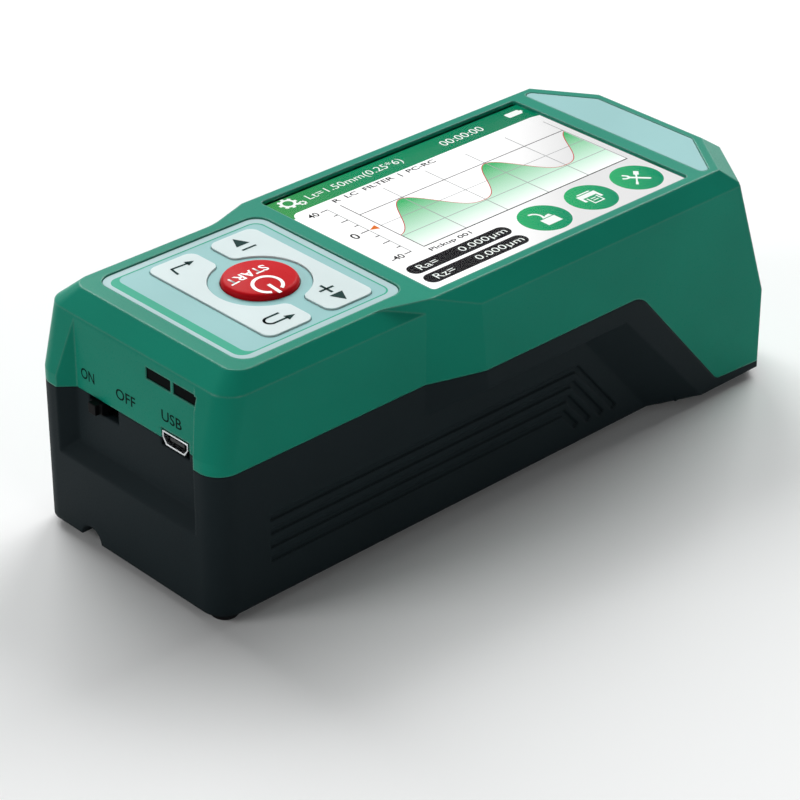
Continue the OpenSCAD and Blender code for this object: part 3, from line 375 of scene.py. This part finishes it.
field_left, field_low, field_right, field_top = 55.6, -27.1, 133.2, 25.9
plot_left, plot_floor, plot_right, plot_top = 70.4, -9.5, 130.4, 15.6
ruler, ruler_top, tick_gap = 67.1, 15.8, 3.14
to_corner = Vector((0.729, -0.685, 0.0))  # the way the backlight falls off
white = lit("display_white", ((0, "#FFFFFF"), (1, "#DCDCDC")), to_corner, 0.0125, 0.0310, 1.14)
header = lit("display_header", ((0, "#3F9A50"), (0.35, "#118C5E"), (1, "#087C58")),
             east, end_x + 0.058, end_x + 0.131)
fill = lit("display_wave", ((0, "#FFFFFF"), (0.35, "#CBECD8"), (1, "#3FB36B")),
           north, plot_floor / 1000, 0.009, 1.1)
ink = lit("display_ink", "#0C0D0E")
grey = lit("display_axis", "#565455")
faint = lit("display_grid", "#A3A6A6")
dark = lit("display_pill", "#18171A")
red = lit("display_red", "#C8403A")
orange = lit("display_orange", "#E2721F")
bright = lit("display_letters", "#F4FAF6")


def shown(name, layer, shapes, material):
    """Shapes on one layer of the display."""
    printed(name, shapes, on_screen(layer), material, "housing")


def written(name, layer, words, a, b, height, material, width=None, align="LEFT", weight=0.0):
    """Words on one layer of the display."""
    lettering(name, words, on_screen(layer, a, b), height, material, "housing",
              width, align, weight)


def gear(a, b, r):
    """A cog with eight teeth."""
    tooth = ((0.78, -22), (0.78, -13), (1.0, -10), (1.0, 10), (0.78, 13))
    path = [(r * s, math.radians(45 * k + t)) for k in range(8) for s, t in tooth]
    return [[(a + d * math.cos(t), b + d * math.sin(t)) for d, t in path]]


shown("screen_field", 0, block(field_left, field_low, field_right, field_top), white)
shown("screen_header", 1, [[
    (field_left, field_top), (field_left, 17.2), (59.6, 17.2), (59.9, 18.0), (60.5, 18.7),
    (61.4, 19.1), (130.0, 19.1), (field_right, 18.4), (field_right, field_top)]], header)
shown("screen_gears", 2, gear(63.0, 23.5, 2.3) + gear(65.5, 21.7, 1.0), bright)
shown("screen_gear_holes", 3, disc(63.0, 23.5, 1.15) + disc(65.5, 21.7, 0.45), header)
written("screen_length", 2, "Lt=1.50mm(0.25*6)", 67.7, 21.1, 3.0, bright, 26.7)
written("screen_clock", 2, "00:00:00", 106.0, 21.3, 2.4, bright, 12.3)
shown("screen_battery", 2,
      rounded(126.4, 21.9, 130.6, 23.9, 0.4) + block(130.6, 22.5, 131.1, 23.3), bright)
written("screen_filter", 2, "R  LC  FILTER  |  PC-RC", 70.5, 16.6, 1.9, ink, 29.0, weight=0.02)

wave_first, wave_length, wave_run = 81.5, 24.8, 59.8
wave_low, wave_rise = -2.8, 12.1


def crest(a):
    """The height of the measured profile, whose valleys are wider than its crests."""
    swing = 0.5 + 0.5 * math.cos(2 * math.pi * (a - wave_first) / wave_length)
    return wave_low + wave_rise * swing ** 1.35


run = [plot_left + wave_run * k / 120 for k in range(121)]
shown("screen_wave", 2, [[(a, plot_floor), (b, plot_floor), (b, crest(b)), (a, crest(a))]
                         for a, b in zip(run, run[1:])], fill)
grid = []
for a in (82.4, 94.5, 106.5, 118.5, plot_right):
    grid += stroke([(a, -9.4), (a, plot_top)], 0.24)
for b in (3.2, -3.2):
    grid += stroke([(plot_left, b), (plot_right, b)], 0.2)
shown("screen_grid", 3, grid + stroke([(ruler, ruler_top), (ruler, -9.3)], 0.24), faint)
shown("screen_lines", 4, stroke([(plot_left, plot_top), (plot_left, plot_floor)], 0.26)
      + stroke([(plot_left, 9.6), (plot_right, 9.6)], 0.26), grey)
axes = stroke([(plot_left, plot_floor), (plot_right, plot_floor)], 0.32)
for k in range(9):
    b, reach = ruler_top - tick_gap * k, 2.2 if k == 4 else 1.1 if k % 2 else 1.9
    axes += stroke([(ruler - reach, b), (ruler, b)], 0.3)
shown("screen_axes", 4, axes, ink)
shown("screen_trace", 5, stroke([(a, crest(a)) for a in run], 0.2), red)
shown("screen_pointer", 5, [[(67.3, 3.2), (69.4, 2.2), (69.4, 4.2)]], orange)
for name, words, b, tall in (("top", "40", 14.9, 1.9), ("mid", "0", 1.9, 2.5),
                             ("low", "-40", -10.3, 1.9)):
    written("screen_scale_" + name, 2, words, 63.2, b, tall, ink, None, "CENTER", 0.016)
written("screen_pickup", 2, "Pickup 001", 70.3, -12.4, 1.7, ink, 11.5, weight=0.02)
pill_left, pill_right, pill_half = 60.6, 88.6, 1.95
for name, words, b in (("ra", "Ra=", -15.5), ("rz", "Rz=", -20.4)):
    pill = rounded(pill_left, b - pill_half, pill_right, b + pill_half, 1.9)
    shown("screen_pill_" + name, 2, pill, dark)
    written("screen_label_" + name, 3, words, 63.1, b - 1.05, 2.1, bright, 5.2)
    written("screen_value_" + name, 3, "0.000µm", 74.6, b - 1.35, 2.4, bright, 12.9)


def moved(shapes, a, b):
    """Shapes set down at another place."""
    return [[(p + a, q + b) for p, q in shape] for shape in shapes]


spout = [(-1.8, 3.0), (-0.9, 2.85), (-0.25, 2.3), (0.1, 1.5), (0.1, 0.8), (-0.2, 0.1)]
tray = (block(-1.7, -2.95, 2.35, -0.35) + [[(-0.7, -0.1), (2.1, -0.1), (1.9, 0.85), (0.9, 0.7)]]
        + stroke(spout, 0.55))
printer = stroke([(-1.9, 2.45), (1.8, 2.45)], 0.4) + block(-2.65, -0.95, 2.65, 1.95)
printer_gap = block(-1.95, -1.0, 1.9, 0.5)
sheet = (stroke([(-1.3, 0.1), (-1.3, -2.4), (1.4, -2.4), (1.4, 0.1)], 0.35)
         + stroke([(-0.7, -0.5), (0.8, -0.5)], 0.3) + stroke([(-0.7, -1.3), (0.8, -1.3)], 0.3))
spanner = (stroke([(-1.1, 1.0), (1.85, -2.05)], 0.75) + disc(1.85, -2.05, 0.37, 16)
           + stroke([(-1.7, 2.7), (-1.0, 1.8), (-1.0, 0.9)], 0.6)
           + stroke([(-2.7, 1.5), (-1.9, 0.95), (-1.0, 0.95)], 0.6))
driver = (stroke([(0.9, 0.95), (2.1, 2.2)], 1.15) + stroke([(0.9, 0.95), (-1.7, -1.75)], 0.4)
          + stroke([(-1.5, -1.55), (-2.3, -2.4)], 0.6))
button_row, button_r, shade_half = -17.1, 5.75, 0.0057
for name, a, front, gap, over in (
    ("file", 97.4, tray, [], []),
    ("print", 111.3, printer, printer_gap, sheet),
    ("tools", 125.1, spanner + driver, [], []),
):
    middle = Vector((end_x + a / 1000, button_row / 1000, 0.0)).dot(to_corner)
    shade = lit("display_button_" + name, ((0, "#2BAE6C"), (1, "#008D65")),
                to_corner, middle - shade_half, middle + shade_half)
    shown("screen_button_" + name, 2, disc(a, button_row, button_r, 72), shade)
    shown("screen_icon_" + name, 3, moved(front, a, button_row), bright)
    if gap:
        shown("screen_icon_gap_" + name, 4, moved(gap, a, button_row), shade)
        shown("screen_icon_sheet_" + name, 5, moved(over, a, button_row), bright)


# Window: a pane of cast acrylic with a coat against reflections and its edges broken, bonded
# behind the rim of the opening. Its underside stands clear of the display.
# Coated acrylic: clear, with hardly a reflection, so the coat lowers the index that it shows.
clear_acrylic, tree = new_tree("coated_clear_acrylic")
shader = put(tree, "ShaderNodeBsdfPrincipled", {
    "Base Color": (1, 1, 1, 1), "Roughness": 0.04, "IOR": 1.06, "Transmission Weight": 1.0})
put(tree, "ShaderNodeOutputMaterial", {"Surface": shader.outputs["BSDF"]})
air_gap, edge_break = 0.00015, 0.0001
low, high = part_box("screen_window")
low.z += air_gap
form = bmesh.new()
bmesh.ops.create_cube(form, size=1.0)
for v in form.verts:
    v.co = Vector([low[n] if v.co[n] < 0 else high[n] for n in range(3)])
bmesh.ops.bevel(form, geom=list(form.edges), offset=edge_break, segments=2, affect="EDGES")
window_mesh = bpy.data.meshes.new("window_pane")
form.to_mesh(window_mesh)
form.free()
window_mesh.materials.append(clear_acrylic)
window = link(bpy.data.objects.new("window_pane", window_mesh))
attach(window, "housing")
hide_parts("screen_window")


# Keypad overlay: printed film on a stiff backing, bonded into its pocket around the keys. The
# print is a light rim, a teal line that widens to a band along the connector edge, and the
# pale field. The inks are flat and a little duller than the film.
softened("keypad_overlay", 0.08, pale_film)
film_rim = moulded("film_pale_ink", "#A4C2C4", 0.38, 0.2, 0.002, 0.15)
film_teal = moulded("film_teal_ink", "#2AA386", 0.40, 0.2, 0.002, 0.08)
overlay_low, overlay_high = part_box("keypad_overlay")
on_film = Vector((end_x, 0, overlay_high.z + 0.00002))
film_start, film_end = (overlay_low.x - end_x) * 1000, (overlay_high.x - end_x) * 1000
film_side = overlay_high.y * 1000


def outline(inset, start_inset, r):
    """The film's outline, drawn in by one amount, and by another at the connector edge."""
    return rounded(film_start + start_inset, inset - film_side,
                   film_end - inset, film_side - inset, r)[0]


def band(outer, inner):
    """The closed band between two outlines."""
    next_outer, next_inner = outer[1:] + outer[:1], inner[1:] + inner[:1]
    return [list(corners) for corners in zip(outer, next_outer, next_inner, inner)]


rim_edge, line_edge = outline(0.12, 0.12, 3.3), outline(1.75, 1.2, 2.4)
printed("film_rim", band(rim_edge, line_edge), on_film, film_rim, "housing")
printed("film_line", band(line_edge, outline(2.1, 3.3, 2.1)), on_film, film_teal, "housing")


# Keys: two C-shaped rockers and a round red button, moulded in ABS with screen-printed signs.
# They stand in the overlay's openings on the domes of a silicone mat. The button is domed, and
# its print follows the dome.
def ring(a, b, r0, r1, start, end, n=64):
    """A part of a ring, between two angles in degrees."""
    turn = [math.radians(start + (end - start) * k / n) for k in range(n + 1)]
    inner, outer = ([(a + r * math.cos(t), b + r * math.sin(t)) for t in turn] for r in (r0, r1))
    return [list(corners) for corners in zip(inner, outer, outer[1:], inner[1:])]


# White ABS: light enters it a little way, so the edges look soft. Red ABS: deep and even.
key_abs = moulded("key_white_abs", "#C9D8D8", 0.40, 0.2, 0.003, 0.25, **{
    "Subsurface Weight": 0.5, "Subsurface Radius": (1.0, 1.0, 1.0), "Subsurface Scale": 0.0008})
red_abs = moulded("red_abs", "#C5131D", 0.30, 0.2, 0.002, 0.03)
softened("enter_key", 0.3, key_abs)
softened("adjust_key", 0.3, key_abs)
softened("start_button", 0.12, red_abs)

# Screen ink: dull and dense on the keys, and a clean white on the button.
sign_ink = moulded("dark_screen_ink", "#1C3836", 0.5, 0.2, 0.001, 0.02)
white_ink = moulded("white_screen_ink", "#F6F7F6", 0.45, 0.2, 0.001)
on_key = Vector((end_x, 0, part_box("enter_key")[1].z + 0.00002))
sign_line, bend_r = 0.55, 1.25
bend = [math.radians(90 + 15 * k) for k in range(1, 13)]
hook = ([(29.2, -12.4), (26.0, -12.4)]
        + [(26.0 + bend_r * math.cos(t), -13.65 + bend_r * math.sin(t)) for t in bend]
        + [(29.6, -14.9)])
printed("enter_signs", stroke([(25.0, 12.7), (25.4, 15.3), (29.6, 15.1)], sign_line)
        + [[(29.0, 14.2), (31.0, 15.1), (29.1, 16.1)]] + stroke(hook, sign_line)
        + [[(29.0, -15.9), (31.2, -14.9), (29.0, -13.9)]], on_key, sign_ink, "enter_rocker")
up_minus = [[(40.9, 13.7), (44.3, 13.7), (42.6, 17.0)]] + block(40.9, 11.7, 44.5, 12.25)
down_plus = ([[(40.9, -13.95), (42.5, -17.2), (44.2, -13.95)]]
             + block(40.6, -11.7, 44.2, -11.1) + block(42.1, -13.2, 42.7, -9.6))
printed("adjust_signs", up_minus + down_plus, on_key, sign_ink, "adjust_rocker")
low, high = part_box("start_button")
cap = Vector(((low.x + high.x) / 2, 0, high.z))
dome_rise, cap_border, ink_lift = 0.00035, 0.0019, 0.00004
dome_half = (high.x - low.x) / 2 - cap_border
dome_r = (dome_half ** 2 + dome_rise ** 2) / (2 * dome_rise)
start_word = lettering("start_word", "START", cap + north * 0.0032 - east * 0.0016, 2.6, white_ink,
                       "button", 9.8, "CENTER", 0.02, -east, -north)
power_sign = ring(-1.2, -3.7, 2.6, 3.35, -65, 245) + block(-1.6, -7.6, -0.8, -3.9)
power = printed("start_power", power_sign, cap, white_ink, "button")
for piece in (start_word, power):
    for v in piece.data.vertices:
        reach = math.hypot(v.co.x - cap.x, v.co.y)
        v.co.z = cap.z + ink_lift - (dome_r - math.sqrt(dome_r ** 2 - reach ** 2))


# Connector end: a slide switch and a small USB socket on an upright board behind the recessed
# face, two indicator windows pressed in from inside, and plain words pad-printed on the face.
# Smoked acrylic: near black and smooth. Acetal, polyester and nylon: a plain, dull black.
painted("indicator_lens", moulded("smoked_acrylic", "#070D0C", 0.12, 0.4, 0.001, 0.01, IOR=1.49))
softened("switch_knob", 0.2, moulded("black_acetal", "#08090A", 0.45, 0.3, 0.004, 0.05, IOR=1.48))
painted("switch_body", moulded("black_polyester", "#0C0D0E", 0.5, 0.3, 0.004, 0.05))
painted("usb_insulator", moulded("black_nylon", "#0D0E0F", 0.5, 0.3, 0.004))
# Tinned sheet steel: a bright, slightly clouded metal.
softened("usb_shell", 0.1, moulded("tinned_steel", "#C9CCCE", 0.28, 0.3, 0.002, Metallic=1.0))
# Pad ink: a thin dark film, duller than the case.
pad_ink = moulded("dark_pad_ink", "#06221D", 0.5, 0.2, 0.001, 0.02)
shell_proud, pad_lift = 0.0001, 0.00002
face_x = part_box("usb_shell")[0].x + shell_proud - pad_lift
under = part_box("lower_housing")[0].z
for word, y, z, wide in (("ON", 14.7, 34.2, 4.2), ("OFF", 2.9, 34.2, 6.0),
                         ("USB", -11.1, 35.4, 6.0)):
    lettering("word_" + word.lower(), word, Vector((face_x, y / 1000, under + z / 1000)), 2.4,
              pad_ink, "housing", wide, "CENTER", right=-north, up=sky)


# Feet: four moulded rubber buttons with a rounded edge, pushed into the underside by their
# stems. The head is a little wider than the solid that it stands for.
# Rubber: a dull, even black.
rubber = moulded("black_rubber", "#0E0F10", 0.7, 0.3, 0.008, 0.1)
low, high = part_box("feet")
stem_r, head_r, head_h, edge_r = 0.0023, 0.0029, under, 0.0006
quarter = [math.radians(15 * k) for k in range(1, 7)]
flat_r = head_r - edge_r
profile = [(0.0, 0.0), (flat_r, 0.0)]
profile += [(flat_r + edge_r * math.sin(t), edge_r - edge_r * math.cos(t)) for t in quarter]
profile += [(head_r, head_h), (0.0, head_h)]
form = bmesh.new()
for x in (low.x + stem_r, high.x - stem_r):
    for y in (low.y + stem_r, high.y - stem_r):
        rim = [form.verts.new((x + r, y, z)) for r, z in profile]
        edges = [form.edges.new(pair) for pair in zip(rim, rim[1:])]
        bmesh.ops.spin(form, geom=rim + edges, cent=(x, y, 0), axis=(0, 0, 1),
                       angle=2 * math.pi, steps=48, use_merge=True)
bmesh.ops.remove_doubles(form, verts=form.verts, dist=1e-7)
bmesh.ops.recalc_face_normals(form, faces=form.faces)
for face in form.faces:
    face.smooth = True
mesh = bpy.data.meshes.new("rubber_feet")
form.to_mesh(mesh)
form.free()
mesh.materials.append(rubber)
feet = link(bpy.data.objects.new("rubber_feet", mesh))
creases = feet.modifiers.new("flat ends stay flat", "EDGE_SPLIT")
creases.split_angle = math.radians(40)
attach(feet, "housing")
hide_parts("feet")


# Traverse and pickup: turned steel and brass and milled aluminium, in a frame screwed into the
# lower half, with the pickup plugged into its carriage. Only the bay shows them, from below.
# Turned metal: bright, with a fine even satin. Black anodising: dark, with a metal's sheen.
steel = moulded("turned_steel", "#B9BCBF", 0.30, 0.2, 0.002, Metallic=1.0)
brass = moulded("turned_brass", "#C9A45A", 0.30, 0.2, 0.002, Metallic=1.0)
alloy = moulded("milled_aluminium", "#A4A8AC", 0.36, 0.2, 0.003, Metallic=1.0)
anodised = moulded("black_anodised_aluminium", "#303337", 0.40, 0.2, 0.003, Metallic=0.6)
for material, nodes in (
    (steel, ("frame_screws", "drive_motor", "shaft_coupling", "lead_screw", "guide_rod",
             "push_tube", "pickup_skid", "stylus_arm", "stylus_tip")),
    (brass, ("gearbox", "drive_nut", "tube_bush")),
    (alloy, ("drive_frame",)),
):
    for node in nodes:
        painted(node, material)
softened("carriage_head", 0.2, anodised)
softened("pickup_body", 0.1, steel)


# Inside the case: circuit boards on bosses, a battery in a shrunk sleeve, the moulded mat under
# the keys, and the steel screws that hold the boards and join the two halves.
# Solder mask: a dark, glassy green. Shrink sleeve: a waxy blue. Silicone: a dull, milky grey.
solder_mask = moulded("green_solder_mask", "#1C5A38", 0.35, 0.4, 0.004)
for node in ("main_board", "keypad_board", "end_board"):
    painted(node, solder_mask)
painted("battery_pack", moulded("blue_shrink_sleeve", "#33598F", 0.35, 0.6, 0.006))
painted("key_mat", moulded("grey_silicone", "#BCC0BE", 0.6, 0.4, 0.006))
painted("board_screws", steel)
painted("case_screws", steel)
